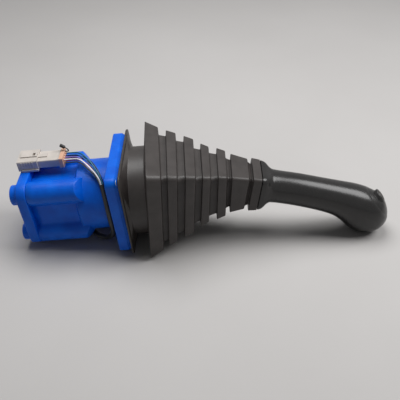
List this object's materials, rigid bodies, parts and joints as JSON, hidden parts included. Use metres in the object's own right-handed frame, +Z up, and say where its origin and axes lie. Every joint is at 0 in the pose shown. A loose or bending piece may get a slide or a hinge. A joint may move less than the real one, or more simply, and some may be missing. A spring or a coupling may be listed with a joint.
{
  "type": "hydraulic pilot joystick valve",
  "caption": "Hydraulic pilot joystick valve with a cast body, square flange, square bellows boot, bent lever with a hand grip, and a loose connector.",
  "frame": {"origin": "centre of the mounting flange's face towards the valve body", "axes": "+X along the valve's axis towards the grip, +Z up as the valve lies on its side, +Y to its left"},
  "size_m": [0.4014, 0.1126, 0.143],
  "materials": {
    "blue_paint": "semi-gloss paint over a casting",
    "boot_rubber": "satin moulded rubber",
    "bright_steel": "ground",
    "bush_brass": "machined",
    "button_plastic": "satin",
    "connector_ivory": "moulded",
    "connector_white": "moulded",
    "grip_cap_plastic": "fine satin",
    "grip_rubber": "satin soft moulding",
    "screw_steel": "blackened",
    "seal_rubber": "smooth",
    "sleeve_plastic": "satin",
    "spring_steel": "spring wire",
    "switch_plastic": "satin",
    "wire_black": "satin",
    "wire_brown": "satin",
    "wire_grey_green": "satin",
    "wire_lavender": "satin",
    "wire_navy": "satin",
    "wire_red": "satin",
    "wire_steel_blue": "satin",
    "wire_teal": "satin",
    "wire_white": "satin",
    "zinc_steel": "zinc plated"
  },
  "bodies": {
    "base": {"boot": "boot_rubber", "boot_frame": "zinc_steel", "bush_rings": "seal_rubber", "cable_grommet": "seal_rubber", "connector_plug": "connector_ivory", "connector_socket": "connector_white", "flange_screws": "screw_steel", "guide_bushes": "bush_brass", "joint_stud": "bright_steel", "mounting_flange": "blue_paint", "port_plate": "blue_paint", "port_plate_screws": "screw_steel", "port_seals": "seal_rubber", "retainer_plate": "zinc_steel", "rod_seals": "seal_rubber", "spare_cap": "sleeve_plastic", "spare_lead": "wire_black", "spool_sleeves": "bright_steel", "valve_body": "blue_paint", "wire_1": "wire_teal", "wire_2": "wire_steel_blue", "wire_3": "wire_lavender", "wire_4": "wire_white", "wire_5": "wire_navy", "wire_6": "wire_brown", "wire_7": "wire_red", "wire_8": "wire_grey_green", "wire_sleeve": "sleeve_plastic"},
    "cross": {"joint_cross": "bright_steel"},
    "lever": {"joint_yoke": "bright_steel", "swash_disc": "bright_steel", "adjusting_nut": "zinc_steel", "lever_socket": "zinc_steel", "lock_nut": "zinc_steel", "lever_rod": "bright_steel", "grip": "grip_rubber", "grip_cap": "grip_cap_plastic", "push_switch": "switch_plastic"},
    "button": {"push_button": "button_plastic"},
    "rod_1": {"push_rod_1": "bright_steel", "spring_seat_1": "bright_steel", "return_spring_1": "spring_steel", "metering_spring_1": "spring_steel"},
    "spool_body_1": {"spool_1": "bright_steel"},
    "rod_2": {"push_rod_2": "bright_steel", "spring_seat_2": "bright_steel", "return_spring_2": "spring_steel", "metering_spring_2": "spring_steel"},
    "spool_body_2": {"spool_2": "bright_steel"},
    "rod_3": {"push_rod_3": "bright_steel", "spring_seat_3": "bright_steel", "return_spring_3": "spring_steel", "metering_spring_3": "spring_steel"},
    "spool_body_3": {"spool_3": "bright_steel"},
    "rod_4": {"push_rod_4": "bright_steel", "spring_seat_4": "bright_steel", "return_spring_4": "spring_steel", "metering_spring_4": "spring_steel"},
    "spool_body_4": {"spool_4": "bright_steel"}
  },
  "joints": [
    {"name": "tilt_a", "type": "hinge", "parent": "base", "child": "cross", "pos_m": [0.028, 0, 0], "axis": [0, 0.7071, 0.7071], "range_deg": [-12.5, 12.5], "stiffness_Nm_per_rad": 9, "deforming": ["boot"]},
    {"name": "tilt_b", "type": "hinge", "parent": "cross", "child": "lever", "pos_m": [0.028, 0, 0], "axis": [0, -0.7071, 0.7071], "range_deg": [-12.5, 12.5], "stiffness_Nm_per_rad": 9},
    {"name": "button_press", "type": "slide", "parent": "lever", "child": "button", "axis": [-0.829, 0, -0.5592], "range_m": [0, 0.0022], "stiffness_N_per_m": 900, "springref_m": -0.0012},
    {"name": "rod_slide_1", "type": "slide", "parent": "base", "child": "rod_1", "axis": [1, 0, 0], "range_m": [-0.0072, 0.0072], "deforming": ["return_spring_1", "metering_spring_1"]},
    {"name": "spool_slide_1", "type": "slide", "parent": "base", "child": "spool_body_1", "axis": [1, 0, 0], "range_m": [-0.0018, 0.0018]},
    {"name": "rod_slide_2", "type": "slide", "parent": "base", "child": "rod_2", "axis": [1, 0, 0], "range_m": [-0.0072, 0.0072], "deforming": ["return_spring_2", "metering_spring_2"]},
    {"name": "spool_slide_2", "type": "slide", "parent": "base", "child": "spool_body_2", "axis": [1, 0, 0], "range_m": [-0.0018, 0.0018]},
    {"name": "rod_slide_3", "type": "slide", "parent": "base", "child": "rod_3", "axis": [1, 0, 0], "range_m": [-0.0072, 0.0072], "deforming": ["return_spring_3", "metering_spring_3"]},
    {"name": "spool_slide_3", "type": "slide", "parent": "base", "child": "spool_body_3", "axis": [1, 0, 0], "range_m": [-0.0018, 0.0018]},
    {"name": "rod_slide_4", "type": "slide", "parent": "base", "child": "rod_4", "axis": [1, 0, 0], "range_m": [-0.0072, 0.0072], "deforming": ["return_spring_4", "metering_spring_4"]},
    {"name": "spool_slide_4", "type": "slide", "parent": "base", "child": "spool_body_4", "axis": [1, 0, 0], "range_m": [-0.0018, 0.0018]}
  ],
  "couplings": [
    {"joint": "rod_slide_1", "follows": "tilt_b", "m_per_rad": -0.033002},
    {"joint": "spool_slide_1", "follows": "tilt_b", "m_per_rad": -0.008234},
    {"joint": "rod_slide_2", "follows": "tilt_a", "m_per_rad": 0.033002},
    {"joint": "spool_slide_2", "follows": "tilt_a", "m_per_rad": 0.008234},
    {"joint": "rod_slide_3", "follows": "tilt_b", "m_per_rad": 0.033002},
    {"joint": "spool_slide_3", "follows": "tilt_b", "m_per_rad": 0.008234},
    {"joint": "rod_slide_4", "follows": "tilt_a", "m_per_rad": -0.033002},
    {"joint": "spool_slide_4", "follows": "tilt_a", "m_per_rad": -0.008234}
  ]
}
